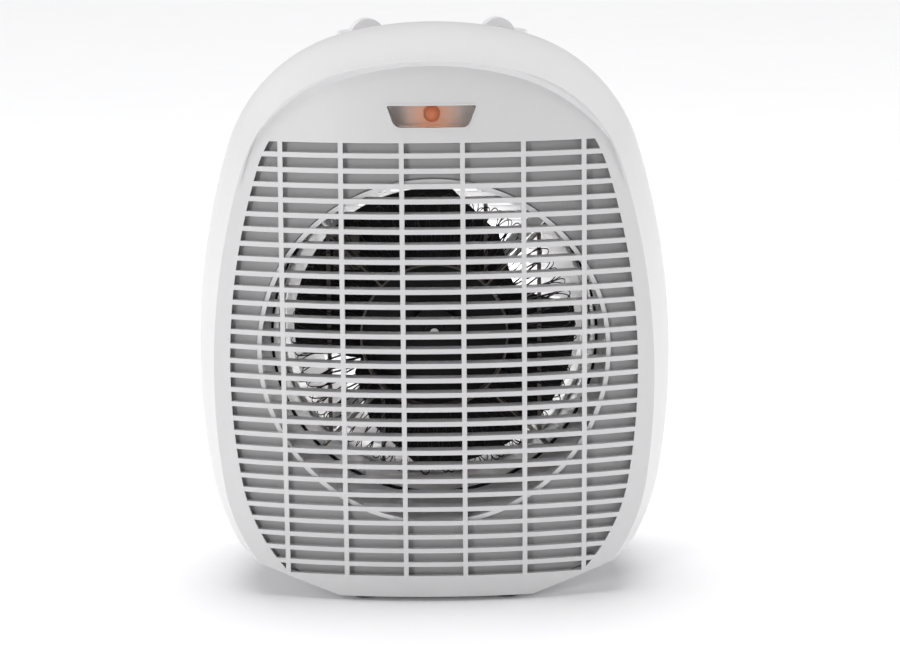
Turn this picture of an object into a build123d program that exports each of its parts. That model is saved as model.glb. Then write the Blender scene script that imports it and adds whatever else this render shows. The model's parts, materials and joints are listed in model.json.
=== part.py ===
from build123d import *
from math import cos, radians, sin, tan
import os

# An upright fan convector heater.  Millimetres, +Z up, the front faces -Y, and the
# origin is on the floor under the middle of the case.

# ---- driving dimensions of the case ----
case_height = 257.4          # seam outline, from the underside of the case to its top
case_half_width = 108.1      # widest half width of the seam outline
case_depth = 130.0           # from the front of the grille to the back
seam_depth = 60.0            # where the front and rear covers meet, behind the front
foot_height = 2.0
wall = 2.2
lip_overlap = 2.4            # how far the rear cover's spigot enters the front cover
lip_clearance = 0.15

# ---- bowed front ----
bow_radius_across = 260.4    # radius of the front seen from above
bow_radius_up = 659.0        # radius of the front seen from the side
bow_centre_z = 132.3
bow_half_chord = 130.0
visor_proud = 3.0            # how far the brow stands in front of the panel at the top
visor_start_z = 190.0        # the height where the brow starts to stand proud
cove_width = 6.6

# ---- grille ----
slot_rows = 30
slot_pitch = 6.725
slot_height = 4.55
top_slot_z = 211.95          # upper edge of the top row
rib_pitch = 27.0
rib_width = 2.15
bar_depth = 2.6
deep_bar_depth = 7.0         # bars are deeper inside the outlet ring
slot_margin = 5.8            # from the crease of the rim to the slot ends
crease_inset = 10.4          # from the seam outline to the crease of the rim

# ---- outlet, element and fan, all about one axis ----
axis_z = 116.3
ring_outer_radius = 79.5
ring_wall = 2.0
ring_set_back = 2.2
ring_depth = 20.0            # the ring's rear edge, behind the front
duct_mouth_radius = 77.5     # inside, at the ring
duct_throat_radius = 70.5    # inside, at the rear end
duct_wall = 0.8
duct_end_depth = 105.0
element_depth = 45.0         # the front edge of the element, behind the front
element_width = 9.0
element_outer_radius = 66.4
element_inner_radius = 34.0
mica_thickness = 0.8
fan_tip_gap = 7.06           # from the blade tips to the duct
fan_front_depth = 58.0
fan_width = 22.0
hub_radius = 11.0
shaft_radius = 2.0

# ---- knobs ----
knob_x = 30.0
knob_depth = 82.0            # the knobs' axes, behind the front
knob_radius = 14.0
knob_seat_drop = 9.6         # from the top of the case to the knobs' seats
knob_gap = 0.5               # between a knob's underside and its seat
grip_radius = 8.0
spindle_radius = 3.0
spindle_clearance = 0.05

# ---- pilot lamp window ----
lens_top_z = 228.3
lens_bottom_z = 218.7
lens_top_half_width = 19.9
lens_bottom_half_width = 16.4
lens_corner = 4.2
lens_clearance = 0.1

# ---- fixings and feet ----
screw_radius = 1.5
boss_radius = 3.6
foot_radius = 7.0
foot_x = 32.0
cord_hole_radius = 5.0
cord_bush_x = -30.0
cord_bush_z = 24.0
front_foot_depth = 26.0
rear_foot_depth = 98.0
foot_peg_radius = 2.0
tower_radius = 4.4
screw_head_radius = 2.8
screw_head_height = 2.0
screw_gap = 0.1

os.makedirs("parts", exist_ok=True)

front_y = -case_depth / 2
case_top_z = foot_height + case_height
knob_seat_z = case_top_z - knob_seat_drop
base_slope = 20.5            # degrees, the chamfered lower corners
base_flat_half_width = 44.0
far = 400.0

# The outline is a chain of tangent arcs, from the top centre down one side.
arc_turns = (14.4, 58.5, 26.6, 35.5)
arc_shape = (164.4, 74.3, 332.5, 98.0)
outline_width_at_shape = 108.1
outline_height_at_shape = 257.4


def depth_plane(depth):
    """A plane facing the front, the given depth behind the front of the case."""
    return Plane.XZ.offset(-(front_y + depth))


def outline(inset):
    """The case outline, moved inwards by inset, as a face to add to a sketch."""
    across = case_half_width / outline_width_at_shape
    up = case_height / outline_height_at_shape
    points = []
    centre_x, centre_z, turned = 0.0, outline_height_at_shape - arc_shape[0], 0.0
    for index, (turn, radius) in enumerate(zip(arc_turns, arc_shape)):
        for share in (0.0, 0.5):
            angle = radians(turned + turn * share)
            x = (centre_x + radius * sin(angle)) * across
            z = (centre_z + radius * cos(angle)) * up
            nx, nz = sin(angle) / across, cos(angle) / up
            length = (nx * nx + nz * nz) ** 0.5
            points.append((x - inset * nx / length, foot_height + z - inset * nz / length))
        turned += turn
        if index + 1 < len(arc_shape):
            step = radius - arc_shape[index + 1]
            centre_x += step * sin(radians(turned))
            centre_z += step * cos(radians(turned))
    angle = radians(turned)
    x = (centre_x + arc_shape[-1] * sin(angle)) * across
    z = (centre_z + arc_shape[-1] * cos(angle)) * up
    end = (x - inset * sin(angle), foot_height + z - inset * cos(angle))
    points.append(end)
    low = -40.0
    foot = (end[0] - (end[1] - low), low)
    with BuildLine() as edge:
        for start in range(0, len(points) - 1, 2):
            ThreePointArc(points[start], points[start + 1], points[start + 2])
        Line(end, foot)
        Line(foot, (0, low))
        mirror(about=Plane.YZ)
    return make_face(edge.edges(), mode=Mode.PRIVATE)


def under_base(lift):
    """The space under the flat base and its two chamfered corners, raised by lift."""
    low = foot_height + lift
    side = low + (far - base_flat_half_width) * tan(radians(base_slope))
    with BuildLine() as edge:
        Polyline(
            (-base_flat_half_width, low),
            (base_flat_half_width, low),
            (far, side),
            (far, -far),
            (-far, -far),
            (-far, side),
            close=True,
        )
    return make_face(edge.edges(), mode=Mode.PRIVATE)


def profile(inset, lift):
    """The outline moved inwards by inset, with its base raised by lift."""
    return outline(inset) - under_base(lift)


def case_form(sections, inwards):
    """A cover's form through its (inset, depth) sections, with every side moved inwards."""
    with BuildPart() as form:
        for inset, depth in sections:
            with BuildSketch(depth_plane(depth)):
                add(outline(inset + inwards))
        loft()
        with BuildSketch(depth_plane(-far / 2)):
            add(under_base(inwards))
        extrude(amount=-far, mode=Mode.SUBTRACT)
    return form.part


def bow_points(nearest):
    """Points along the bow as seen from above, its nearest point at the given y."""
    across = [bow_half_chord * share / 4 for share in range(-4, 5)]
    return [(x, nearest + bow_radius_across - (bow_radius_across**2 - x * x) ** 0.5) for x in across]


def bowed_space(set_back, thickness, centre_z=bow_centre_z, vertex_depth=0.0):
    """The space behind the bowed front surface: arcs across, swept on the upright radius."""
    half = bow_half_chord
    sweep = 14.0
    sag = bow_points(0.0)[0][1]
    near = front_y + vertex_depth + set_back
    back = near + thickness
    axis = Axis((0, front_y + vertex_depth + bow_radius_up, centre_z), (1, 0, 0))
    with BuildPart() as space:
        with BuildSketch(Plane.XY.offset(centre_z)):
            with BuildLine():
                Spline(bow_points(near))
                Line((half, near + sag), (half, back + sag))
                Spline(bow_points(back))
                Line((-half, back + sag), (-half, near + sag))
            make_face()
        revolve(axis=axis, revolution_arc=2 * sweep)
    return space.part.rotate(axis, -sweep)


def axial_disc(radius, from_depth, to_depth, hole_radius=0.0, x=0.0, z=axis_z):
    """A disc or ring whose axis runs front to back."""
    with BuildPart() as disc:
        with BuildSketch(depth_plane(from_depth)):
            with Locations((x, z)):
                Circle(radius)
                if hole_radius > 0:
                    Circle(hole_radius, mode=Mode.SUBTRACT)
        extrude(amount=from_depth - to_depth)
    return disc.part


def upright_disc(radius, from_z, to_z, x, depth, hole_radius=0.0):
    """A disc or ring whose axis is upright."""
    with BuildPart() as disc:
        with BuildSketch(Plane.XY.offset(from_z)):
            with Locations((x, front_y + depth)):
                Circle(radius)
                if hole_radius > 0:
                    Circle(hole_radius, mode=Mode.SUBTRACT)
        extrude(amount=to_z - from_z)
    return disc.part


def block(x_range, depth_range, z_range):
    """A plain block between two x, two depths and two heights."""
    with BuildPart() as solid:
        with BuildSketch(Plane.XY.offset(z_range[0])):
            with Locations(((x_range[0] + x_range[1]) / 2, front_y + sum(depth_range) / 2)):
                Rectangle(x_range[1] - x_range[0], depth_range[1] - depth_range[0])
        extrude(amount=z_range[1] - z_range[0])
    return solid.part


def write(part, node):
    """Label a finished piece and write it."""
    part.label = node
    export_step(part, "parts/" + node + ".step")


# ---- shared layout ----
front_sections = ((12.6, 0.0), (crease_inset, 14.0), (3.6, 36.0), (0.0, seam_depth))
rear_sections = (
    (0.0, seam_depth),
    (3.6, seam_depth + 26.0),
    (8.6, case_depth - 20.0),
    (15.0, case_depth - 6.0),
    (23.0, case_depth),
)
rear_inner_sections = (
    (0.0, seam_depth),
    (3.6, seam_depth + 26.0),
    (8.6, case_depth - 20.0 - wall / 2),
    (15.0, case_depth - 6.0 - wall),
    (23.0, case_depth - wall),
)
panel_back = bar_depth
boss_inset_high = 24.1       # from the widest side of the case to the fixing bosses
boss_inset_low = 20.1
cover_bosses = [
    (side * (case_half_width - inset), z)
    for inset, z in ((boss_inset_high, 200.0), (boss_inset_low, 46.0))
    for side in (1, -1)
]
duct_post_offset = 58.5
duct_flange_radius = duct_post_offset * 2**0.5 + 3.8
duct_posts = [
    (x, axis_z + z)
    for x in (-duct_post_offset, duct_post_offset)
    for z in (-duct_post_offset, duct_post_offset)
]
fan_back_depth = fan_front_depth + fan_width
arm_depth = fan_back_depth + 3.0
arm_thickness = 3.0
arm_turn = 45.0
spoke_turns = (45.0, 135.0, 225.0, 315.0)
motor_depth = arm_depth + arm_thickness      # the front face of the motor's front bracket
slot_field = outline(crease_inset + slot_margin)
slot_columns = 2 * int((case_half_width - crease_inset - slot_margin) / rib_pitch + 0.5) + 1


def lens_shape(grow):
    """The pilot window: a trapezium with rounded lower corners, grown all round."""
    top = lens_top_z + grow
    bottom = lens_bottom_z - grow
    with BuildSketch() as shape:
        with BuildLine():
            Polyline(
                (-lens_top_half_width - grow, top),
                (lens_top_half_width + grow, top),
                (lens_bottom_half_width + grow, bottom),
                (-lens_bottom_half_width - grow, bottom),
                close=True,
            )
        make_face()
        fillet(shape.vertices().group_by(Axis.Y)[0], lens_corner + grow)
        fillet(shape.vertices().group_by(Axis.Y)[-1], 0.6 + grow / 2)
    return shape.sketch


def through_front(face, from_depth=-20.0, length=80.0):
    """A straight bar of the given face, running front to back."""
    with BuildPart() as bar:
        with BuildSketch(depth_plane(from_depth)):
            add(face)
        extrude(amount=-length)
    return bar.part


# ---- front cover: shell, bowed panel, grille bars and outlet ring ----
brow_slope = visor_proud / (case_top_z - crease_inset - visor_start_z)
brow_centre_z = bow_centre_z + brow_slope * bow_radius_up
brow_depth = brow_slope * (2 * visor_start_z - bow_centre_z - brow_centre_z) / 2
panel_space = bowed_space(0.0, seam_depth + 2.0)
brow_space = bowed_space(0.0, seam_depth + 2.0, brow_centre_z, brow_depth)

# The cove under the brow tapers inwards from a plane that leans with the brow's crest.
crest_z = case_top_z - crease_inset
crest_depth = (crest_z - bow_centre_z) ** 2 / (2 * bow_radius_up) - visor_proud
cove_lean = 14.3
cove_normal = Vector(0, -cos(radians(cove_lean)), -sin(radians(cove_lean)))
cove_up = Vector(0, -sin(radians(cove_lean)), cos(radians(cove_lean)))
crest_point = Vector(0, front_y + crest_depth, crest_z)
cove_plane = Plane(origin=crest_point - cove_up * crest_z, x_dir=(1, 0, 0), z_dir=cove_normal)
with BuildPart() as cove:
    with BuildSketch(cove_plane):
        add(outline(crease_inset + 0.5))
    with BuildSketch(cove_plane.offset(-visor_proud)):
        add(outline(crease_inset + 0.5 + cove_width))
    loft()
    with BuildSketch(cove_plane):
        add(outline(crease_inset + 0.5))
    extrude(amount=25.0)
    with BuildSketch(Plane.XY.offset(-far)):
        Rectangle(far, far)
    extrude(amount=far + visor_start_z, mode=Mode.SUBTRACT)
cove_cut = cove.part - panel_space

boss_front_depth = 30.0
boss_back_depth = seam_depth - 2.0
screw_tip_depth = 46.0
front_wall_middle = case_form(front_sections, wall / 2)

with BuildPart() as front_cover:
    add(case_form(front_sections, 0.0))
    add(panel_space + brow_space, mode=Mode.INTERSECT)
    add(cove_cut, mode=Mode.SUBTRACT)
    cavity = case_form(front_sections, wall) & bowed_space(panel_back, seam_depth + 5.0)
    add(cavity, mode=Mode.SUBTRACT)
    add(bowed_space(0.0, deep_bar_depth) & axial_disc(ring_outer_radius - ring_wall / 2, -1.0, 50.0))
    with BuildSketch(depth_plane(-5.0)):
        with Locations((0, top_slot_z - slot_height / 2 - slot_pitch * (slot_rows - 1) / 2)):
            with GridLocations(rib_pitch, slot_pitch, slot_columns, slot_rows):
                Rectangle(rib_pitch - rib_width, slot_height)
        add(slot_field, mode=Mode.INTERSECT)
    extrude(amount=-50.0, mode=Mode.SUBTRACT)
    add(
        axial_disc(ring_outer_radius, 0.0, ring_depth, ring_outer_radius - ring_wall)
        & bowed_space(ring_set_back, 50.0)
    )
    add(through_front(lens_shape(0.0)), mode=Mode.SUBTRACT)
    add(through_front(lens_shape(0.7) - lens_shape(0.0)) & bowed_space(-0.35, 1.35))
    for x, z in cover_bosses:
        reach = (min(x, x * 1.3), max(x, x * 1.3))
        web = block(reach, (boss_front_depth + 4.0, boss_back_depth - 4.0), (z - 1.2, z + 1.2))
        add(web & front_wall_middle)
        add(axial_disc(boss_radius, boss_front_depth, boss_back_depth, 0.0, x, z) & front_wall_middle)
    for x, z in cover_bosses:
        add(axial_disc(screw_radius, screw_tip_depth, seam_depth, 0.0, x, z), mode=Mode.SUBTRACT)
    for x in (-foot_x, foot_x):
        add(upright_disc(foot_peg_radius, 0.0, foot_height + 2 * wall, x, front_foot_depth), mode=Mode.SUBTRACT)
write(front_cover.part, "front_cover")

# ---- backing plate behind the grille, round the outlet ring ----
plate_set_back = 4.6
plate_thickness = 0.8
plate_top_z = top_slot_z + 5.0
plate_gap = 0.3
peg_radius = 0.95
peg_places = [(x, z) for x in (-rib_pitch * 2.5, rib_pitch * 2.5) for z in (38.0, 192.0)]
with BuildSketch() as plate_shape:
    add(profile(crease_inset + 2.8, wall + 1.0))
    with Locations((0, plate_top_z + far / 2)):
        Rectangle(far, far, mode=Mode.SUBTRACT)
    with Locations((0, axis_z)):
        Circle(ring_outer_radius + plate_gap, mode=Mode.SUBTRACT)
    with Locations(*peg_places):
        Circle(peg_radius, mode=Mode.SUBTRACT)
with BuildPart() as backing_plate:
    add(through_front(plate_shape.sketch))
    add(bowed_space(plate_set_back, plate_thickness), mode=Mode.INTERSECT)
write(backing_plate.part, "backing_plate")

# Four heat-staked pins on the ribs hold the plate.
pin_space = bowed_space(bar_depth, plate_set_back + plate_thickness - bar_depth + 0.6)
with BuildPart() as plate_pins:
    for x, z in peg_places:
        add(axial_disc(peg_radius, 0.0, seam_depth, 0.0, x, z) & pin_space)
write(plate_pins.part, "plate_pins")

# ---- rear cover: shell, spigot, knob seats, intake grille, grip recess and posts ----
intake_radius = 60.0
intake_pitch = 7.0
intake_slot_height = 4.4
intake_rib_pitch = 22.0
intake_rib_width = 2.4
recess_z = 222.0
recess_half_width = 42.0
recess_half_height = 12.0
recess_reach = 20.0
recess_corner = 8.0
post_radius = 3.6
seat_radius = knob_radius + 0.7
rear_inner = case_form(rear_inner_sections, wall)
rear_outer = case_form(rear_sections, 0.0)
spigot_inset = wall + 0.2 + lip_clearance
spigot_wall = 1.3

with BuildSketch() as intake_slots:
    with Locations((0, axis_z)):
        with GridLocations(intake_rib_pitch, intake_pitch, 6, 17):
            Rectangle(intake_rib_pitch - intake_rib_width, intake_slot_height)
    with Locations((0, axis_z)):
        Circle(intake_radius, mode=Mode.INTERSECT)


def recess_shape(grow):
    """The grip recess as seen from behind, grown all round."""
    with BuildSketch() as shape:
        with Locations((0, recess_z)):
            RectangleRounded(
                2 * (recess_half_width + grow),
                2 * (recess_half_height + grow),
                recess_corner + grow,
            )
    return shape.sketch


def spigot_ring(outer_inset, inner_inset, from_depth, to_depth):
    """A straight ring that follows the case outline."""
    with BuildPart() as ring:
        with BuildSketch(depth_plane(from_depth)):
            add(profile(outer_inset, outer_inset))
            add(profile(inner_inset, inner_inset), mode=Mode.SUBTRACT)
        extrude(amount=from_depth - to_depth)
    return ring.part


recess_front = case_depth - recess_reach
tower_front_depth = boss_back_depth + 0.2
tower_seat_depth = tower_front_depth + 18.0
with BuildPart() as rear_cover:
    add(rear_outer)
    add(rear_inner, mode=Mode.SUBTRACT)
    add(spigot_ring(spigot_inset, spigot_inset + spigot_wall, seam_depth - lip_overlap, seam_depth + 3.0))
    add(spigot_ring(0.9, spigot_inset + spigot_wall, seam_depth + 0.6, seam_depth + 3.0))
    add(through_front(recess_shape(wall), recess_front - wall, recess_reach + wall) & rear_outer)
    for x in (-knob_x, knob_x):
        add(upright_disc(seat_radius + wall, knob_seat_z - wall, case_top_z, x, knob_depth) & rear_outer)
        add(upright_disc(seat_radius, knob_seat_z, far, x, knob_depth), mode=Mode.SUBTRACT)
        add(
            upright_disc(spindle_radius + 0.6, knob_seat_z - 2 * wall, far, x, knob_depth),
            mode=Mode.SUBTRACT,
        )
    add(through_front(recess_shape(0.0), recess_front, recess_reach + 5.0), mode=Mode.SUBTRACT)
    add(through_front(intake_slots.sketch, case_depth - wall - 2.0, 10.0), mode=Mode.SUBTRACT)
    post_depth = duct_end_depth + duct_wall
    for x, z in duct_posts:
        add(axial_disc(post_radius, post_depth, case_depth - wall / 2, 0.0, x, z))
    for x, z in duct_posts:
        add(axial_disc(screw_radius, post_depth, post_depth + 12.0, 0.0, x, z), mode=Mode.SUBTRACT)
    for x, z in cover_bosses:
        add(axial_disc(tower_radius, tower_front_depth, case_depth, 0.0, x, z) & rear_outer)
    for x, z in cover_bosses:
        add(
            axial_disc(screw_radius + screw_gap, tower_front_depth, tower_seat_depth, 0.0, x, z),
            mode=Mode.SUBTRACT,
        )
        add(
            axial_disc(screw_head_radius + 0.3, tower_seat_depth, case_depth + 1.0, 0.0, x, z),
            mode=Mode.SUBTRACT,
        )
    add(
        axial_disc(cord_hole_radius, case_depth - 2 * wall, case_depth + 1.0, 0.0, cord_bush_x, cord_bush_z),
        mode=Mode.SUBTRACT,
    )
    for x in (-foot_x, foot_x):
        add(upright_disc(foot_peg_radius, 0.0, foot_height + 2 * wall, x, rear_foot_depth), mode=Mode.SUBTRACT)
write(rear_cover.part, "rear_cover")

# ---- housing screws ----
with BuildPart() as housing_screws:
    for x, z in cover_bosses:
        add(axial_disc(screw_radius, screw_tip_depth + 1.0, tower_seat_depth, 0.0, x, z))
        head_back = tower_seat_depth + screw_head_height
        add(axial_disc(screw_head_radius, tower_seat_depth, head_back, 0.0, x, z))
write(housing_screws.part, "housing_screws")


def axial_turning(points):
    """A solid turned about the fan axis, from (radius, depth) points."""
    with BuildPart() as turned:
        with BuildSketch(Plane.XY.offset(axis_z)):
            with BuildLine():
                Polyline(*[(radius, front_y + depth) for radius, depth in points], close=True)
            make_face()
        revolve(axis=Axis((0, 0, axis_z), (0, 1, 0)))
    return turned.part


def duct_inside(depth):
    """The inside radius of the tapered outlet duct at a depth."""
    share = (depth - ring_depth) / (duct_end_depth - ring_depth)
    return duct_mouth_radius + (duct_throat_radius - duct_mouth_radius) * share


# ---- outlet duct: a tapered sheet tube with a lip on the ring and a screwed flange behind ----
duct_lip_radius = ring_outer_radius + 4.5
duct_tube = axial_turning(
    (
        (duct_lip_radius, ring_depth),
        (duct_mouth_radius, ring_depth),
        (duct_throat_radius, duct_end_depth),
        (duct_throat_radius, duct_end_depth + duct_wall),
        (duct_flange_radius, duct_end_depth + duct_wall),
        (duct_flange_radius, duct_end_depth),
        (duct_throat_radius + duct_wall, duct_end_depth),
        (duct_mouth_radius + duct_wall, ring_depth + duct_wall),
        (duct_lip_radius, ring_depth + duct_wall),
    )
)
with BuildPart() as outlet_duct:
    add(duct_tube)
    for x, z in duct_posts:
        add(axial_disc(screw_radius, duct_end_depth - 1.0, case_depth, 0.0, x, z), mode=Mode.SUBTRACT)
write(outlet_duct.part, "outlet_duct")

with BuildPart() as duct_screws:
    for x, z in duct_posts:
        add(axial_disc(screw_radius, duct_end_depth, duct_end_depth + 10.0, 0.0, x, z))
        head_front = duct_end_depth - screw_head_height
        add(axial_disc(screw_head_radius, head_front, duct_end_depth, 0.0, x, z))
write(duct_screws.part, "duct_screws")

# A dark felt band round the inside of the duct seats the element's spokes.
seal_front = element_depth + 4.5
seal_back = seal_front + 2.0
seal_thickness = 1.0
duct_seal = axial_turning(
    (
        (duct_inside(seal_front), seal_front),
        (duct_inside(seal_back), seal_back),
        (duct_inside(seal_back) - seal_thickness, seal_back),
        (duct_inside(seal_front) - seal_thickness, seal_front),
    )
)
write(duct_seal, "duct_seal")

# ---- motor spider: a ring pressed into the duct and four arms to the motor ----
arm_width = 6.0
motor_ring_outer = 24.0
motor_ring_inner = 9.0
spider_ring_wall = 1.6
spider_ring_depth = 8.0
with BuildPart() as motor_spider:
    rim_outer = duct_inside(motor_depth) - 0.02
    rim_inner = rim_outer - spider_ring_wall
    add(axial_disc(rim_outer, motor_depth - spider_ring_depth, motor_depth, rim_inner))
    add(axial_disc(motor_ring_outer, arm_depth, motor_depth, motor_ring_inner))
    arm_inner = motor_ring_outer - 4.0
    arm_outer = rim_outer - spider_ring_wall / 2
    with BuildSketch(depth_plane(arm_depth)):
        with Locations((0, axis_z)):
            with PolarLocations((arm_inner + arm_outer) / 2, 4, start_angle=arm_turn):
                Rectangle(arm_outer - arm_inner, arm_width)
    extrude(amount=-arm_thickness)
write(motor_spider.part, "motor_spider")

# ---- heating element: mica rings and spokes, and four hairpin ribbons ----
element_back = element_depth + element_width
mica_inner_ring = axial_disc(
    element_inner_radius, element_depth, element_back, element_inner_radius - mica_thickness
)
write(mica_inner_ring, "mica_inner_ring")

spoke_reach = duct_inside(seal_back) - seal_thickness - 0.02
for number, turn in enumerate(spoke_turns, start=1):
    with BuildPart() as spoke:
        with BuildSketch(depth_plane(element_depth)):
            with Locations((0, axis_z)):
                with PolarLocations((element_inner_radius + spoke_reach) / 2, 1, start_angle=turn):
                    Rectangle(spoke_reach - element_inner_radius, mica_thickness)
        extrude(amount=-element_width)
    write(spoke.part, "mica_spoke_" + str(number))

ribbon_thickness = 0.5
ribbon_width = 1.6
hairpins = 13
hairpin_step = 3.1           # degrees from one leg to the next
ribbon_depth = element_depth + 3.5


def polar(radius, turn):
    """A point about the fan axis."""
    return (radius * cos(radians(turn)), axis_z + radius * sin(radians(turn)))


def hairpin_ribbon(first_turn):
    """A flat ribbon folded into radial hairpins that stand out from the inner mica ring."""
    half = ribbon_thickness / 2
    tip = element_outer_radius - half
    root = element_inner_radius + half
    lean_tip = half / radians(1.0) / tip
    lean_root = half / radians(1.0) / root
    left = []
    right = []
    for pin in range(hairpins):
        out_turn = first_turn + pin * 2 * hairpin_step
        back_turn = out_turn + hairpin_step
        left.append(polar(root + half, out_turn - lean_root))
        left.append(polar(tip + half, out_turn - lean_tip))
        left.append(polar(tip + half, back_turn + lean_tip))
        left.append(polar(root + half, back_turn + lean_root))
        right.append(polar(root - half, out_turn + lean_root))
        right.append(polar(tip - half, out_turn + lean_tip))
        right.append(polar(tip - half, back_turn - lean_tip))
        right.append(polar(root - half, back_turn - lean_root))
    with BuildPart() as ribbon:
        with BuildSketch(depth_plane(ribbon_depth)):
            with BuildLine():
                Polyline(*left, *reversed(right), close=True)
            make_face()
        extrude(amount=-ribbon_width)
    return ribbon.part


for number, turn in enumerate(spoke_turns, start=1):
    margin = (90.0 - (2 * hairpins - 1) * hairpin_step) / 2
    write(hairpin_ribbon(turn + margin), "heating_ribbon_" + str(number))

# Upright mica strips behind the hairpins hold them apart: (x, lower and upper rise from the axis).
strip_end = element_outer_radius - 5.0
strip_places = (
    (48.3, -46.5, 46.5),
    (24.0, 26.0, strip_end),
    (-48.3, -46.5, 46.5),
    (-24.0, -strip_end, -26.0),
)
strip_width = 1.8
strip_front = ribbon_depth + ribbon_width
for number, (x, low, high) in enumerate(strip_places, start=1):
    strip = block(
        (x - strip_width / 2, x + strip_width / 2),
        (strip_front, element_back),
        (axis_z + low, axis_z + high),
    )
    write(strip, "mica_strip_" + str(number))

cutout_x = -40.0
cutout_rise = 38.0
cutout_radius = 5.0
cutout_board = block(
    (cutout_x - 6.0, cutout_x + 6.0),
    (element_back, element_back + mica_thickness),
    (axis_z + cutout_rise - 8.0, axis_z + cutout_rise + 8.0),
)
write(cutout_board, "cutout_board")
cutout_front = element_back + mica_thickness
thermal_cutout = axial_disc(
    cutout_radius, cutout_front, cutout_front + 4.5, 0.0, cutout_x, axis_z + cutout_rise
)
write(thermal_cutout, "thermal_cutout")

# ---- fan rotor: a hub, a root plate and two broad helical blades with raked edges ----
fan_radius = duct_inside(fan_back_depth) - fan_tip_gap
root_plate_radius = 34.0
root_plate_thickness = 2.0
blade_thickness = 1.6
blade_sweep = 208.0
blade_starts = (4.0, 184.0)
blade_front_depth = fan_front_depth + 2.0
blade_back_depth = fan_back_depth - 2.0
leading_rake = ((0.0, 8.0), (0.3, 24.0), (0.65, 52.0), (1.0, 78.0))        # (share of the span, turn)
trailing_rake = ((1.0, 184.0), (0.65, 189.0), (0.3, 198.0), (0.0, 207.0))


def blade(first_turn):
    """A helical blade, from its leading edge at the front to its trailing edge."""
    sections = 13
    with BuildPart() as vane:
        for index in range(sections):
            share = index / (sections - 1)
            turn = radians(first_turn + blade_sweep * share)
            depth = blade_front_depth + (blade_back_depth - blade_front_depth) * share
            plane = Plane(
                origin=(0, front_y + depth, axis_z),
                x_dir=(cos(turn), 0, sin(turn)),
                z_dir=(sin(turn), 0, -cos(turn)),
            )
            with BuildSketch(plane):
                with Locations(((root_plate_radius + fan_radius - 1.0) / 2, 0)):
                    Rectangle(fan_radius - root_plate_radius + 7.0, blade_thickness)
        loft()
    return vane.part


def blade_outline(first_turn):
    """The blade's outline seen from the front: raked edges between the root plate and the tip."""
    corners = []
    for share, turn in leading_rake + trailing_rake:
        radius = root_plate_radius - 2.0 + (fan_radius + 2.0 - root_plate_radius) * share
        corners.append(polar(radius, first_turn + turn))
    lead, trail = corners[:4], corners[4:]
    tip_turn = first_turn + (leading_rake[-1][1] + trailing_rake[0][1]) / 2
    root_turn = first_turn + (leading_rake[0][1] + trailing_rake[-1][1]) / 2
    with BuildSketch() as shape:
        with BuildLine():
            Polyline(*lead)
            ThreePointArc(lead[-1], polar(fan_radius, tip_turn), trail[0])
            Polyline(*trail)
            ThreePointArc(trail[-1], polar(root_plate_radius - 2.0, root_turn), lead[0])
        make_face()
    return shape.sketch


with BuildPart() as fan_rotor:
    for first_turn in blade_starts:
        add(blade(first_turn) & through_front(blade_outline(first_turn), fan_front_depth, fan_width))
    add(axial_disc(hub_radius, fan_front_depth, fan_back_depth))
    plate_front = (fan_front_depth + fan_back_depth - root_plate_thickness) / 2
    add(axial_disc(root_plate_radius, plate_front, plate_front + root_plate_thickness))
    add(axial_disc(shaft_radius, 0.0, case_depth), mode=Mode.SUBTRACT)
write(fan_rotor.part, "fan_rotor")
shaft_front_depth = fan_front_depth - 3.0
shaft_back_depth = motor_depth + 27.0
clip_front_depth = fan_front_depth - 2.0
write(axial_disc(4.5, clip_front_depth, fan_front_depth, shaft_radius), "fan_clip")
write(axial_disc(shaft_radius, shaft_front_depth, shaft_back_depth), "motor_shaft")

# ---- motor: laminated frame, coil, brackets and bearings ----
bracket_thickness = 2.0
stack_depth = motor_depth + 2 * bracket_thickness
stack_length = 16.0
stack_back = stack_depth + stack_length
stack_half_width = 23.0
stack_top = axis_z + 26.0
stack_bottom = axis_z - 46.0
rotor_radius = 12.8
air_gap = 0.5
motor_screw_x = 19.0
coil_bar_height = 8.0
bearing_radius = 5.0
bearing_clearance = 0.05
with BuildPart() as motor_stack:
    add(
        block(
            (-stack_half_width, stack_half_width),
            (stack_depth, stack_back),
            (stack_bottom, stack_top),
        )
    )
    add(axial_disc(rotor_radius + air_gap, 0.0, case_depth), mode=Mode.SUBTRACT)
    window_top = axis_z - 24.0
    window_bottom = stack_bottom + coil_bar_height
    add(
        block((-stack_half_width + 6.0, stack_half_width - 6.0), (0.0, case_depth), (window_bottom, window_top)),
        mode=Mode.SUBTRACT,
    )
    for x in (-motor_screw_x, motor_screw_x):
        add(axial_disc(screw_radius, 0.0, case_depth, 0.0, x), mode=Mode.SUBTRACT)
write(motor_stack.part, "motor_stack")

coil_wrap = 2.0
with BuildPart() as motor_coil:
    add(
        block(
            (-stack_half_width + 8.0, stack_half_width - 8.0),
            (stack_depth - coil_wrap, stack_back + coil_wrap),
            (stack_bottom - coil_wrap - 2.0, window_bottom + coil_wrap + 2.0),
        )
    )
    add(block((-far, far), (stack_depth, stack_back), (stack_bottom, window_bottom)), mode=Mode.SUBTRACT)
write(motor_coil.part, "motor_coil")
write(axial_disc(rotor_radius, stack_depth + 0.5, stack_back - 0.5, shaft_radius), "motor_rotor")


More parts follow.
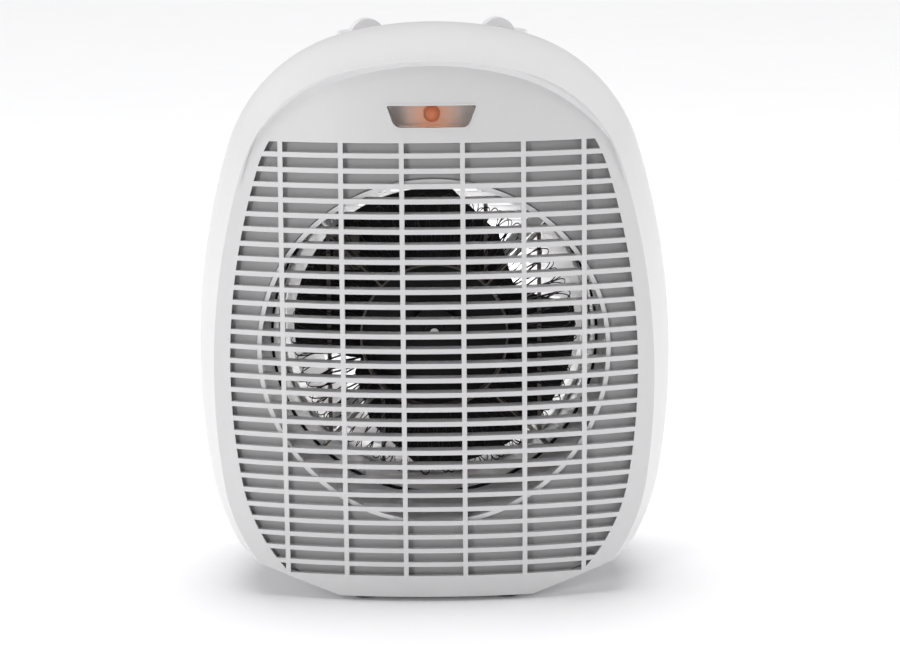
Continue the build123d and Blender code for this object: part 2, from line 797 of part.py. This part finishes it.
def motor_bracket(plate_depth, foot_depth):
    """A flat bar across the motor with two feet and a bearing hole."""
    with BuildPart() as bracket:
        with BuildSketch(depth_plane(plate_depth)):
            with Locations((0, axis_z)):
                SlotOverall(2 * motor_screw_x + 12.0, 14.0)
        extrude(amount=-bracket_thickness)
        for x in (-motor_screw_x, motor_screw_x):
            add(axial_disc(4.0, foot_depth, foot_depth + bracket_thickness, 0.0, x))
        add(axial_disc(bearing_radius, 0.0, case_depth), mode=Mode.SUBTRACT)
        for x in (-motor_screw_x, motor_screw_x):
            add(axial_disc(screw_radius, 0.0, case_depth, 0.0, x), mode=Mode.SUBTRACT)
    return bracket.part


write(motor_bracket(motor_depth, motor_depth + bracket_thickness), "motor_front_bracket")
write(motor_bracket(stack_back + bracket_thickness, stack_back), "motor_rear_bracket")
bearing_bore = shaft_radius + bearing_clearance
write(axial_disc(bearing_radius, motor_depth - 1.0, motor_depth + 3.0, bearing_bore), "bearing_front")
write(axial_disc(bearing_radius, stack_back + 1.0, stack_back + 5.0, bearing_bore), "bearing_rear")
with BuildPart() as motor_screws:
    for x in (-motor_screw_x, motor_screw_x):
        rear_face = stack_back + 2 * bracket_thickness
        add(axial_disc(screw_radius, motor_depth, rear_face, 0.0, x))
        add(axial_disc(screw_head_radius, rear_face, rear_face + screw_head_height, 0.0, x))
write(motor_screws.part, "motor_screws")

# ---- controls: selector switch, thermostat, spindles and knobs ----
neck_radius = 4.5
neck_top = knob_seat_z - wall
switch_top = knob_seat_z - 5.8
switch_bottom = switch_top - 20.0
switch_half = 13.0
spindle_bottom = switch_bottom + 12.0
knob_bottom = knob_seat_z + knob_gap
knob_disc = 2.5
grip_thickness = 6.0
grip_turn = 14.0
spindle_top = knob_bottom + 4.5


def control_body(x, body):
    """A switch body with its neck and the bore for its spindle."""
    neck = upright_disc(neck_radius, switch_top, neck_top, x, knob_depth)
    bore_radius = spindle_radius + spindle_clearance
    bore = upright_disc(bore_radius, spindle_bottom - 0.3, neck_top, x, knob_depth)
    return body + neck - bore


selector_block = block(
    (-knob_x - switch_half, -knob_x + switch_half),
    (knob_depth - switch_half, knob_depth + switch_half),
    (switch_bottom, switch_top),
)
write(control_body(-knob_x, selector_block), "selector_switch")
thermostat_body = upright_disc(switch_half, switch_bottom + 6.0, switch_top, knob_x, knob_depth)
thermostat_body += block(
    (knob_x - 6.0, knob_x + 6.0),
    (knob_depth - 12.0, knob_depth + 12.0),
    (switch_bottom, switch_bottom + 6.0),
)
write(control_body(knob_x, thermostat_body), "thermostat")

for x, name in ((-knob_x, "selector"), (knob_x, "thermostat")):
    spindle = upright_disc(spindle_radius, spindle_bottom, spindle_top, x, knob_depth)
    write(spindle, name + "_spindle")
    with BuildPart() as knob:
        add(upright_disc(knob_radius, knob_bottom, knob_bottom + knob_disc, x, knob_depth))
        fillet(knob.edges().filter_by(GeomType.CIRCLE).sort_by(Axis.Z)[-1], 0.8)
        grip_plane = Plane(
            origin=(x, front_y + knob_depth, knob_bottom + 0.6),
            x_dir=(cos(radians(grip_turn)), sin(radians(grip_turn)), 0),
            z_dir=(sin(radians(grip_turn)), -cos(radians(grip_turn)), 0),
        )
        with BuildSketch(grip_plane):
            Circle(grip_radius)
        extrude(amount=grip_thickness / 2, both=True)
        with BuildSketch(Plane.XY.offset(knob_bottom)):
            Rectangle(far, far)
        extrude(amount=-grip_radius, mode=Mode.SUBTRACT)
        add(upright_disc(spindle_radius, knob_bottom, spindle_top, x, knob_depth), mode=Mode.SUBTRACT)
    write(knob.part, name + "_knob")

# ---- pilot lamp: lens, reflector holder and neon lamp ----
lens_z = (lens_top_z + lens_bottom_z) / 2
flange_set_back = bar_depth + 0.05
flange_thickness = 1.0
holder_set_back = flange_set_back + flange_thickness + 0.05
holder_depth = 9.0
lamp_radius = 3.6
lamp_front_depth = (lens_z - bow_centre_z) ** 2 / (2 * bow_radius_up) + holder_set_back + 2.4
lens = through_front(lens_shape(-lens_clearance)) & bowed_space(-0.15, flange_set_back + 0.15)
lens += through_front(lens_shape(1.4)) & bowed_space(flange_set_back, flange_thickness)
write(lens, "lamp_lens")
holder = through_front(lens_shape(1.4)) & bowed_space(holder_set_back, holder_depth)
holder -= through_front(lens_shape(-0.2)) & bowed_space(holder_set_back - 1.0, holder_depth)
holder -= axial_disc(lamp_radius + 0.05, 0.0, 40.0, 0.0, 0.0, lens_z)
write(holder, "lamp_holder")
with BuildPart() as neon_lamp:
    add(axial_disc(lamp_radius, lamp_front_depth, lamp_front_depth + 9.0, 0.0, 0.0, lens_z))
    fillet(neon_lamp.edges().filter_by(GeomType.CIRCLE).sort_by(Axis.Y)[0], lamp_radius * 0.8)
write(neon_lamp.part, "neon_lamp")

# ---- terminal block, cord inlet bush and cord clamp ----
floor_z = foot_height + wall
terminal_block = block((4.0, 26.0), (104.0, 120.0), (floor_z, floor_z + 12.0))
write(terminal_block, "terminal_block")
cord_radius = 3.3
bush_flange_radius = 8.0
with BuildPart() as cord_bush:
    back_of_wall = case_depth - wall
    add(axial_disc(cord_hole_radius, back_of_wall, case_depth, 0.0, cord_bush_x, cord_bush_z))
    add(
        axial_disc(bush_flange_radius, back_of_wall - 1.5, back_of_wall, 0.0, cord_bush_x, cord_bush_z)
    )
    add(axial_disc(cord_radius, 0.0, far, 0.0, cord_bush_x, cord_bush_z), mode=Mode.SUBTRACT)
write(cord_bush.part, "cord_bush")
clamp_half_width = 10.0
clamp_depths = (108.0, 116.0)
clamp_x = (cord_bush_x - clamp_half_width, cord_bush_x + clamp_half_width)
saddle = block(clamp_x, clamp_depths, (floor_z, cord_bush_z - cord_radius))
clamp_screw_places = [(cord_bush_x - 7.0, 112.0), (cord_bush_x + 7.0, 112.0)]
clamp_top = cord_bush_z + cord_radius + 3.0
clamp_bar = block(clamp_x, clamp_depths, (cord_bush_z + cord_radius, clamp_top))
clamp_screws = None
for x, depth in clamp_screw_places:
    shank = upright_disc(screw_radius, floor_z + 6.0, clamp_top, x, depth)
    head = upright_disc(screw_head_radius, clamp_top, clamp_top + screw_head_height, x, depth)
    saddle -= shank
    clamp_bar -= shank
    clamp_screws = shank + head if clamp_screws is None else clamp_screws + shank + head
write(saddle, "cord_saddle")
write(clamp_bar, "cord_clamp")
write(clamp_screws, "clamp_screws")

# ---- leads clipped inside the case ----
lead_radius = 1.2
switch_side = knob_x + switch_half
lead_routes = {
    "thermostat_lead": (
        (15.0, 104.0, floor_z + 6.0),
        (15.0, 98.0, floor_z + 6.0),
        (70.0, 98.0, 26.0),
        (82.0, 98.0, 62.0),
        (82.0, 98.0, 178.0),
        (58.0, 94.0, 214.0),
        (56.0, 84.0, switch_bottom + 10.0),
        (switch_side, 84.0, switch_bottom + 10.0),
    ),
    "motor_lead": (
        (-switch_side, 84.0, switch_bottom + 10.0),
        (-56.0, 84.0, switch_bottom + 10.0),
        (-58.0, 94.0, 214.0),
        (-82.0, 98.0, 178.0),
        (-82.0, 98.0, 62.0),
        (-66.0, 108.0, 34.0),
        (-2.0, 112.0, 38.0),
        (-2.0, 112.0, 54.0),
        (-2.0, stack_back - 4.0, 58.0),
        (-2.0, stack_back - 4.0, stack_bottom - coil_wrap - 2.0),
    ),
}
for name, route in lead_routes.items():
    with BuildPart() as lead:
        with BuildLine():
            FilletPolyline(*[(x, front_y + depth, z) for x, depth, z in route], radius=2.8)
        start = Vector(route[0][0], front_y + route[0][1], route[0][2])
        heading = Vector(*route[1]) - Vector(*route[0])
        with BuildSketch(Plane(origin=start, z_dir=heading)):
            Circle(lead_radius)
        sweep()
    write(lead.part, name)

# ---- four rubber feet ----
for side, x in (("left", -foot_x), ("right", foot_x)):
    for end, depth in (("front", front_foot_depth), ("rear", rear_foot_depth)):
        with BuildPart() as foot:
            add(upright_disc(foot_radius, 0.0, foot_height, x, depth))
            fillet(foot.edges().filter_by(GeomType.CIRCLE).sort_by(Axis.Z)[0], 0.6)
            add(upright_disc(foot_peg_radius, foot_height, foot_height + wall + 1.0, x, depth))
        write(foot.part, "foot_" + end + "_" + side)
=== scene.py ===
import json
import math
import random

import bmesh
import bpy
from mathutils import Matrix, Vector


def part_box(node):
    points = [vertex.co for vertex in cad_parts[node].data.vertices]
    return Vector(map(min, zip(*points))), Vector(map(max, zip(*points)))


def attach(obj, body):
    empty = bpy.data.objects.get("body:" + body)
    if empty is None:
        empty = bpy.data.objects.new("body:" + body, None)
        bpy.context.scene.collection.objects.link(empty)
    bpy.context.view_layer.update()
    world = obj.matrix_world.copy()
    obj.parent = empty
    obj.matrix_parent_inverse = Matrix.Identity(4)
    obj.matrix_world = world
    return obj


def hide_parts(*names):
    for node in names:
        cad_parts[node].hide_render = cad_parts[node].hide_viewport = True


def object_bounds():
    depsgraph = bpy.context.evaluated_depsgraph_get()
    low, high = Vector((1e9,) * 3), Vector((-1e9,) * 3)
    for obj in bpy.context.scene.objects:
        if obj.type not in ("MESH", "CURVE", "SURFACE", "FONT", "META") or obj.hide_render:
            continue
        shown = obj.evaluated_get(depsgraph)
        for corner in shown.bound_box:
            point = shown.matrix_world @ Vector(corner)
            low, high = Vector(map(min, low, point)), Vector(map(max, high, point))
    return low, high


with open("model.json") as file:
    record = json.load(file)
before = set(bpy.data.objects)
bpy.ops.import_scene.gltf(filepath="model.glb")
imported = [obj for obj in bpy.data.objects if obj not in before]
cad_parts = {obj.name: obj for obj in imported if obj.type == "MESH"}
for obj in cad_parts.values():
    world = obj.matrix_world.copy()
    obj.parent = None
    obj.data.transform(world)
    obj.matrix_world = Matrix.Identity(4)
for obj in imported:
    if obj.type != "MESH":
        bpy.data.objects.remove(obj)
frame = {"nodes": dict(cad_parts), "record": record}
cad_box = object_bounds()
nodes = frame["nodes"]
record = frame["record"]
slot_of = {entry["node"]: entry["material_slot"] for entry in record["subparts"]}

# ---- camera ----
SENSOR_WIDTH = 36.0           # mm
FOCAL_LENGTH = 135.04         # mm
CAMERA_DISTANCE = 1.5
CAMERA_ELEVATION = 0.20121    # radians above the horizon
CAMERA_AZIMUTH = 0.002136
CAMERA_ROLL = 0.0089
AIM_ASIDE = 0.007368          # how far the view is moved sideways and up from the aim point
AIM_UP = -0.001238
AIM_HEIGHT = 0.1323           # the height of the front's nearest point


def make_camera():
    """A long lens a little above the front, aimed at the nearest point of the grille."""
    cam = bpy.data.cameras.new("camera")
    cam.lens = FOCAL_LENGTH
    cam.sensor_width = SENSOR_WIDTH
    cam.clip_start = 0.05
    cam.clip_end = 20.0
    obj = bpy.data.objects.new("camera", cam)
    bpy.context.collection.objects.link(obj)
    forward = Vector(
        (
            -math.sin(CAMERA_AZIMUTH) * math.cos(CAMERA_ELEVATION),
            math.cos(CAMERA_AZIMUTH) * math.cos(CAMERA_ELEVATION),
            -math.sin(CAMERA_ELEVATION),
        )
    )
    right = Vector((math.cos(CAMERA_AZIMUTH), math.sin(CAMERA_AZIMUTH), 0.0))
    up = right.cross(forward)
    aim = Vector((0.0, cad_box[0][1], AIM_HEIGHT))
    place = aim - forward * CAMERA_DISTANCE + right * AIM_ASIDE + up * AIM_UP
    rolled_right = right * math.cos(CAMERA_ROLL) - up * math.sin(CAMERA_ROLL)
    rolled_up = up * math.cos(CAMERA_ROLL) + right * math.sin(CAMERA_ROLL)
    turn = Matrix((rolled_right, rolled_up, -forward)).transposed().to_4x4()
    obj.matrix_world = Matrix.Translation(place) @ turn
    bpy.context.scene.camera = obj


make_camera()


# ---- materials ----
def new_material(name):
    """An empty node material and its principled shader."""
    material = bpy.data.materials.new(name)
    material.use_nodes = True
    shader = material.node_tree.nodes["Principled BSDF"]
    return material, shader


def add_node(material, kind, **values):
    """A node of the given kind, with its inputs or properties set by name."""
    node = material.node_tree.nodes.new(kind)
    for key, value in values.items():
        if key in node.inputs:
            node.inputs[key].default_value = value
        else:
            setattr(node, key, value)
    return node


def link(material, source, target):
    """Links one socket to another."""
    material.node_tree.links.new(source, target)


def object_coordinates(material, stretch=None):
    """The object's own metres, squeezed along each axis by stretch."""
    out = add_node(material, "ShaderNodeTexCoord").outputs["Object"]
    if stretch is None:
        return out
    mapping = add_node(material, "ShaderNodeMapping")
    mapping.inputs["Scale"].default_value = stretch
    link(material, out, mapping.inputs["Vector"])
    return mapping.outputs["Vector"]


def noise(material, scale, detail=3.0, roughness=0.55, stretch=None):
    """A noise texture in the object's own metres."""
    node = add_node(material, "ShaderNodeTexNoise", Scale=scale, Detail=detail, Roughness=roughness)
    link(material, object_coordinates(material, stretch), node.inputs["Vector"])
    return node.outputs["Fac"]


def ramp(material, source, low, high, low_at=0.35, high_at=0.65):
    """A colour ramp from one colour to another."""
    node = add_node(material, "ShaderNodeValToRGB")
    node.color_ramp.elements[0].position = low_at
    node.color_ramp.elements[0].color = (*low, 1.0)
    node.color_ramp.elements[1].position = high_at
    node.color_ramp.elements[1].color = (*high, 1.0)
    link(material, source, node.inputs["Fac"])
    return node.outputs["Color"]


def spread(material, source, low, high):
    """A value mapped from 0..1 to low..high."""
    node = add_node(material, "ShaderNodeMapRange")
    node.inputs["To Min"].default_value = low
    node.inputs["To Max"].default_value = high
    link(material, source, node.inputs["Value"])
    return node.outputs["Result"]


def bump(material, shader, source, strength, distance):
    """Bump from a value, its distance in metres."""
    node = add_node(material, "ShaderNodeBump", Strength=strength, Distance=distance)
    link(material, source, node.inputs["Height"])
    link(material, node.outputs["Normal"], shader.inputs["Normal"])


def shade(colour, amount):
    """A colour made lighter or darker by a factor."""
    return tuple(max(0.0, min(1.0, c * amount)) for c in colour)


GLOSS_SPREAD = 0.15    # how far roughness strays either way, as a share of itself


def grained(
    name,
    colour,
    roughness,
    grain_scale=2600.0,
    grain=0.00004,
    mottle=0.02,
    mottle_scale=18.0,
    metallic=0.0,
    specular=0.5,
    grain_strength=0.35,
    stretch=None,
):
    """A moulded, painted or metal surface: mottling, uneven roughness and a fine grain."""
    material, shader = new_material(name)
    cloud = noise(material, mottle_scale, 4.0, stretch=stretch)
    colour_out = ramp(material, cloud, shade(colour, 1.0 - mottle), shade(colour, 1.0 + mottle))
    link(material, colour_out, shader.inputs["Base Color"])
    gloss = noise(material, mottle_scale * 6.0, 2.0, stretch=stretch)
    uneven = spread(material, gloss, roughness * (1.0 - GLOSS_SPREAD), roughness * (1.0 + GLOSS_SPREAD))
    link(material, uneven, shader.inputs["Roughness"])
    bump(material, shader, noise(material, grain_scale, 2.0, stretch=stretch), grain_strength, grain)
    shader.inputs["Metallic"].default_value = metallic
    shader.inputs["Specular IOR Level"].default_value = specular
    return material, shader


def simple(name, colour, roughness, **options):
    """A grained material without its shader."""
    return grained(name, colour, roughness, **options)[0]


def lamination_material():
    """Stacked electrical steel: thin dark and light bands from front to back."""
    material, shader = grained("laminations", (0.2, 0.2, 0.21), 0.45, metallic=0.8)
    wave = add_node(material, "ShaderNodeTexWave", Scale=900.0, Distortion=0.4, bands_direction="Y")
    link(material, object_coordinates(material), wave.inputs["Vector"])
    colour = ramp(material, wave.outputs["Fac"], (0.09, 0.09, 0.095), (0.3, 0.3, 0.31), 0.3, 0.7)
    link(material, colour, shader.inputs["Base Color"])
    bump(material, shader, wave.outputs["Fac"], 0.5, 0.0001)
    return material


def coil_material():
    """Enamelled copper turns laid side by side."""
    material, shader = grained("coil_copper", (0.36, 0.12, 0.05), 0.35, metallic=0.5)
    wave = add_node(material, "ShaderNodeTexWave", Scale=1100.0, Distortion=0.8, bands_direction="X")
    link(material, object_coordinates(material), wave.inputs["Vector"])
    colour = ramp(material, wave.outputs["Fac"], (0.16, 0.045, 0.02), (0.5, 0.19, 0.08), 0.25, 0.75)
    link(material, colour, shader.inputs["Base Color"])
    bump(material, shader, wave.outputs["Fac"], 0.6, 0.00015)
    return material


def lens_material():
    """A clear moulded window with a fine prismatic texture on its back."""
    material, shader = new_material("clear_lens")
    shader.inputs["Base Color"].default_value = (1.0, 0.99, 0.98, 1.0)
    shader.inputs["Transmission Weight"].default_value = 1.0
    shader.inputs["IOR"].default_value = 1.12
    link(
        material,
        spread(material, noise(material, 420.0, 2.0), 0.10, 0.22),
        shader.inputs["Roughness"],
    )
    cells = add_node(material, "ShaderNodeTexVoronoi", Scale=900.0)
    link(material, object_coordinates(material), cells.inputs["Vector"])
    bump(material, shader, cells.outputs["Distance"], 0.35, 0.0003)
    return material


def glow_material(name, centre, reach, low, high, strength):
    """A surface that glows from its centre outwards, in the object's own metres: a lamp's own light, or
    lamplight painted onto a part that is no lamp.
    """
    material, shader = new_material(name)
    mapping = add_node(material, "ShaderNodeMapping", vector_type="POINT")
    mapping.inputs["Location"].default_value = tuple(-c / r for c, r in zip(centre, reach))
    mapping.inputs["Scale"].default_value = tuple(1.0 / r for r in reach)
    link(material, object_coordinates(material), mapping.inputs["Vector"])
    ball = add_node(material, "ShaderNodeTexGradient", gradient_type="SPHERICAL")
    link(material, mapping.outputs["Vector"], ball.inputs["Vector"])
    glow = ramp(material, ball.outputs["Fac"], low, high, 0.0, 0.75)
    link(material, glow, shader.inputs["Base Color"])
    link(material, glow, shader.inputs["Emission Color"])
    fading = spread(material, ball.outputs["Fac"], 0.0, strength)
    link(material, fading, shader.inputs["Emission Strength"])
    link(material, spread(material, noise(material, 900.0), 0.35, 0.6), shader.inputs["Roughness"])
    return material


SHELL_WHITE = (0.70, 0.695, 0.70)
# the middle of the lamplight painted onto the lamp holder
HOLDER_PAINTED_LAMPLIGHT_CENTRE = (0.0, -0.058, 0.2235)
LAMP_GLOW_CENTRE = (0.0, -0.053, 0.2235)
library = {
    "white_shell": simple("white_shell", SHELL_WHITE, 0.38, mottle=0.008, grain_scale=3200.0),
    # painted shade: the backing plate's mid grey stands in for the shade that falls on it behind the
    # grille bars
    "grey_plate": simple("grey_plate", (0.42, 0.42, 0.425), 0.55, mottle=0.03, grain_scale=1800.0),
    "duct_sheet": simple("duct_sheet", (0.78, 0.78, 0.78), 0.5, mottle=0.02),
    "spider_steel": simple("spider_steel", (0.85, 0.85, 0.85), 0.5, mottle=0.02),
    "dark_felt": simple("dark_felt", (0.012, 0.012, 0.012), 0.95, grain_scale=5000.0, grain=0.0002),
    "zinc_steel": simple("zinc_steel", (0.6, 0.6, 0.57), 0.34, metallic=1.0, mottle=0.06),
    "bright_steel": simple(
        "bright_steel", (0.68, 0.68, 0.68), 0.22, metallic=1.0, stretch=(1.0, 12.0, 1.0)
    ),
    "laminations": lamination_material(),
    "coil_copper": coil_material(),
    "bronze": simple("bronze", (0.5, 0.33, 0.14), 0.4, metallic=1.0, mottle=0.06),
    "mica": simple("mica", (0.20, 0.175, 0.155), 0.42, mottle=0.22, mottle_scale=160.0),
    "ribbon_wire": simple(
        "ribbon_wire",
        (0.045, 0.04, 0.04),
        0.5,
        metallic=0.4,
        mottle=0.35,
        mottle_scale=220.0,
        specular=0.25,
    ),
    "black_fan": simple("black_fan", (0.004, 0.004, 0.0042), 0.4, mottle=0.2, specular=0.3),
    "black_plastic": simple("black_plastic", (0.02, 0.02, 0.021), 0.42, mottle=0.1),
    "white_knob": simple("white_knob", (0.8, 0.79, 0.8), 0.34, mottle=0.01),
    "clear_lens": lens_material(),
    # painted lamplight: the holder is no lamp, yet it glows amber at its middle and grey towards its
    # ends, in base colour and emission, standing in for the neon lamp's light falling on it
    "white_holder": glow_material(
        "white_holder",
        HOLDER_PAINTED_LAMPLIGHT_CENTRE,
        (0.0165, 0.03, 0.016),
        (0.66, 0.65, 0.64),
        (0.78, 0.40, 0.22),
        0.42,
    ),
    "amber_lamp": glow_material(
        "amber_lamp",
        LAMP_GLOW_CENTRE,
        (0.009, 0.012, 0.009),
        (0.30, 0.10, 0.05),
        (0.52, 0.17, 0.08),
        0.35,
    ),
    "terminal_plastic": simple("terminal_plastic", (0.62, 0.6, 0.54), 0.45, mottle=0.03),
    "grey_rubber": simple("grey_rubber", (0.42, 0.42, 0.42), 0.7, mottle=0.04),
    "foot_rubber": simple("foot_rubber", (0.03, 0.03, 0.032), 0.8, mottle=0.1),
    "lead_brown": simple("lead_brown", (0.13, 0.055, 0.025), 0.5, mottle=0.06),
    "lead_blue": simple("lead_blue", (0.03, 0.08, 0.26), 0.5, mottle=0.06),
}


def dress(obj, slot):
    """Puts a slot's material on every material slot of an object."""
    if not obj.material_slots:
        obj.data.materials.append(library[slot])
    for entry in obj.material_slots:
        entry.material = library[slot]


for node_name, obj in nodes.items():
    dress(obj, slot_of[node_name])


# ---- heating element wires ----
def mesh_object(name, verts, faces):
    """A mesh object from vertices and faces, with its normals made consistent."""
    mesh = bpy.data.meshes.new(name)
    mesh.from_pydata(verts, [], faces)
    mesh.validate()
    work = bmesh.new()
    work.from_mesh(mesh)
    bmesh.ops.recalc_face_normals(work, faces=work.faces)
    work.to_mesh(mesh)
    work.free()
    for face in mesh.polygons:
        face.use_smooth = True
    obj = bpy.data.objects.new(name, mesh)
    bpy.context.collection.objects.link(obj)
    return obj


AXIS_Z = 0.1163              # the height of the fan's axis, in metres like all that follows
ELEMENT_INNER = 0.0343       # where the hairpins start, from the axis
ELEMENT_OUTER = 0.0660       # how far the longest tips reach
TIP_UNEVENNESS = 0.0028
HAIRPINS = 15                # in each layer of a quadrant
QUADRANT = 90.0
QUADRANT_MARGIN = 5.5        # degrees kept clear at each side of a quadrant
HAIRPIN_SPREAD = 5.2         # degrees between a hairpin's legs at the ring
LAYER_LEAN = 5.0             # degrees that each layer leans, opposite ways
LEAN_PIVOT = 0.45            # the share of the reach where a leaning hairpin isn't shifted
LEAN_UNEVENNESS = 0.0003     # radians
LAYER_GAP = 0.0022
LEG_LIFT = 0.0009            # how far front to back each leg is from the hairpin's middle
RIBBON_WIDTH = 0.0011
RIBBON_THICKNESS = 0.00034
HAIRPIN_STEPS = 26
HAIRPIN_BULGE = 0.0019
BULGE_UNEVENNESS = 0.0003
TIP_ROUNDNESS = 0.42         # the lower, the squarer a hairpin's tip
WAIST = 0.55                 # how much of the legs' spread is left halfway out


def ribbon_along(points, wide, thick, verts, faces):
    """Adds a flat ribbon along an open path; its width lies front to back."""
    count = len(points)
    base = len(verts)
    for index, (x, y, z) in enumerate(points):
        before = points[max(index - 1, 0)]
        after = points[min(index + 1, count - 1)]
        along = Vector((after[0] - before[0], 0.0, after[2] - before[2]))
        along.normalize()
        side = Vector((-along.z, 0.0, along.x)) * (thick / 2)
        for sy, ss in ((-1, -1), (-1, 1), (1, 1), (1, -1)):
            verts.append((x + side.x * ss, y + sy * wide / 2, z + side.z * ss))
    for index in range(count - 1):
        a = base + index * 4
        for k in range(4):
            b = (k + 1) % 4
            faces.append((a + k, a + b, a + 4 + b, a + 4 + k))
    faces.append((base, base + 1, base + 2, base + 3))
    end = base + (count - 1) * 4
    faces.append((end + 3, end + 2, end + 1, end))


def hairpin_path(turn, reach, rng):
    """A long narrow loop from the inner ring out to a rounded tip and back."""
    points = []
    half = math.radians(HAIRPIN_SPREAD) / 2
    bulge = HAIRPIN_BULGE + rng.uniform(-BULGE_UNEVENNESS, BULGE_UNEVENNESS)
    for index in range(HAIRPIN_STEPS + 1):
        share = index / HAIRPIN_STEPS
        loop = math.sin(math.pi * share)
        radius = ELEMENT_INNER
        if 0 < share < 1:
            out = (1.0 - (2.0 * share - 1.0) ** 2) ** TIP_ROUNDNESS
            radius = ELEMENT_INNER + (reach - ELEMENT_INNER) * out
        side = math.cos(math.pi * share)
        twist = half * side * (WAIST + (1.0 - WAIST) * (1 - loop))
        aside = bulge * side * loop
        angle = math.radians(turn) + twist
        x = radius * math.cos(angle) - aside * math.sin(angle)
        z = radius * math.sin(angle) + aside * math.cos(angle)
        y = LEG_LIFT * (share - 0.5) * 2.0
        points.append((x, y, z))
    return points


def element_wires(name, first_turn, body, node, seed):
    """One quadrant of the element: two layers of hairpins leaning opposite ways."""
    rng = random.Random(seed)
    verts, faces = [], []
    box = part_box(node)
    middle = (box[0][1] + box[1][1]) / 2
    used_angle = QUADRANT - 2 * QUADRANT_MARGIN
    for layer, lean in ((0, LAYER_LEAN), (1, -LAYER_LEAN)):
        for pin in range(HAIRPINS):
            turn = first_turn + QUADRANT_MARGIN + used_angle * (pin + 0.5 * layer) / (HAIRPINS - 0.5)
            reach = ELEMENT_OUTER - rng.uniform(0.0, TIP_UNEVENNESS)
            loop = hairpin_path(turn, reach, rng)
            path = []
            for x, y, z in loop:
                radius = math.hypot(x, z)
                share = (radius - ELEMENT_INNER) / (ELEMENT_OUTER - ELEMENT_INNER)
                swing = math.radians(lean) * (share - LEAN_PIVOT)
                swing += rng.uniform(-LEAN_UNEVENNESS, LEAN_UNEVENNESS)
                cs, sn = math.cos(swing), math.sin(swing)
                depth = middle + y + (layer - 0.5) * LAYER_GAP
                path.append((x * cs - z * sn, depth, AXIS_Z + x * sn + z * cs))
            ribbon_along(path, RIBBON_WIDTH, RIBBON_THICKNESS, verts, faces)
    obj = mesh_object(name, verts, faces)
    dress(obj, "ribbon_wire")
    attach(obj, body)
    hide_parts(node)


SEED = 40
for number, first_turn in enumerate((45.0, 135.0, 225.0, 315.0), start=1):
    piece_name = "element_wires_" + str(number)
    element_wires(piece_name, first_turn, "case", "heating_ribbon_" + str(number), SEED + number)


# ---- floor, world and lights ----
FLOOR_PALE = (0.93, 0.93, 0.94)
AMBIENT_STRENGTH = 0.24      # what lights the object
BACKDROP_STRENGTH = 1.02     # what the camera sees behind it


def floor():
    """A plain pale floor."""
    material = simple("floor_pale", FLOOR_PALE, 0.9, mottle=0.004, grain=0.00001, specular=0.1)
    size = 12.0
    verts = [(-size, -size, 0.0), (size, -size, 0.0), (size, size, 0.0), (-size, size, 0.0)]
    plane = mesh_object("floor", verts, [(0, 1, 2, 3)])
    plane.data.materials.append(material)


floor()

world = bpy.data.worlds.new("studio")
bpy.context.scene.world = world
world.use_nodes = True
tree = world.node_tree
tree.nodes.clear()
output = tree.nodes.new("ShaderNodeOutputWorld")
mix = tree.nodes.new("ShaderNodeMixShader")
paths = tree.nodes.new("ShaderNodeLightPath")
ambient = tree.nodes.new("ShaderNodeBackground")
backdrop = tree.nodes.new("ShaderNodeBackground")
ambient.inputs["Color"].default_value = (1.0, 1.0, 1.0, 1.0)
ambient.inputs["Strength"].default_value = AMBIENT_STRENGTH
backdrop.inputs["Color"].default_value = (1.0, 1.0, 1.0, 1.0)
backdrop.inputs["Strength"].default_value = BACKDROP_STRENGTH
tree.links.new(paths.outputs["Is Camera Ray"], mix.inputs["Fac"])
tree.links.new(ambient.outputs["Background"], mix.inputs[1])
tree.links.new(backdrop.outputs["Background"], mix.inputs[2])
tree.links.new(mix.outputs["Shader"], output.inputs["Surface"])

bpy.context.scene.view_settings.view_transform = "Standard"


def area_light(name, place, target, size, power):
    """A square area light aimed at a target, which the camera doesn't see."""
    data = bpy.data.lights.new(name, "AREA")
    data.shape = "SQUARE"
    data.size = size
    data.energy = power
    obj = bpy.data.objects.new(name, data)
    bpy.context.collection.objects.link(obj)
    obj.location = place
    heading = Vector(target) - Vector(place)
    obj.rotation_euler = heading.to_track_quat("-Z", "Y").to_euler()
    obj.visible_camera = False


def sun_light(name, towards, strength, spread_angle):
    """A sun with soft edges that shines along a direction."""
    data = bpy.data.lights.new(name, "SUN")
    data.energy = strength
    data.angle = math.radians(spread_angle)
    obj = bpy.data.objects.new(name, data)
    bpy.context.collection.objects.link(obj)
    obj.rotation_euler = Vector(towards).to_track_quat("-Z", "Y").to_euler()


CENTRE = (0.0, 0.0, 0.13)    # about the middle of the case
sun_light("overhead", (0.03, -0.10, -1.0), 2.34, 55.0)
area_light("key_left", (-1.15, -2.2, 0.75), CENTRE, 0.3, 12.0)
area_light("side_left", (-1.9, 0.15, 0.55), CENTRE, 1.1, 14.0)
area_light("side_right", (1.9, 0.15, 0.55), CENTRE, 1.1, 16.0)
# A small lamp inside the case, which the real heater hasn't got, brightens what the grille's gaps show.
area_light("duct_back", (0.0, 0.052, AXIS_Z), (0.0, 0.09, AXIS_Z), 0.05, 0.45)
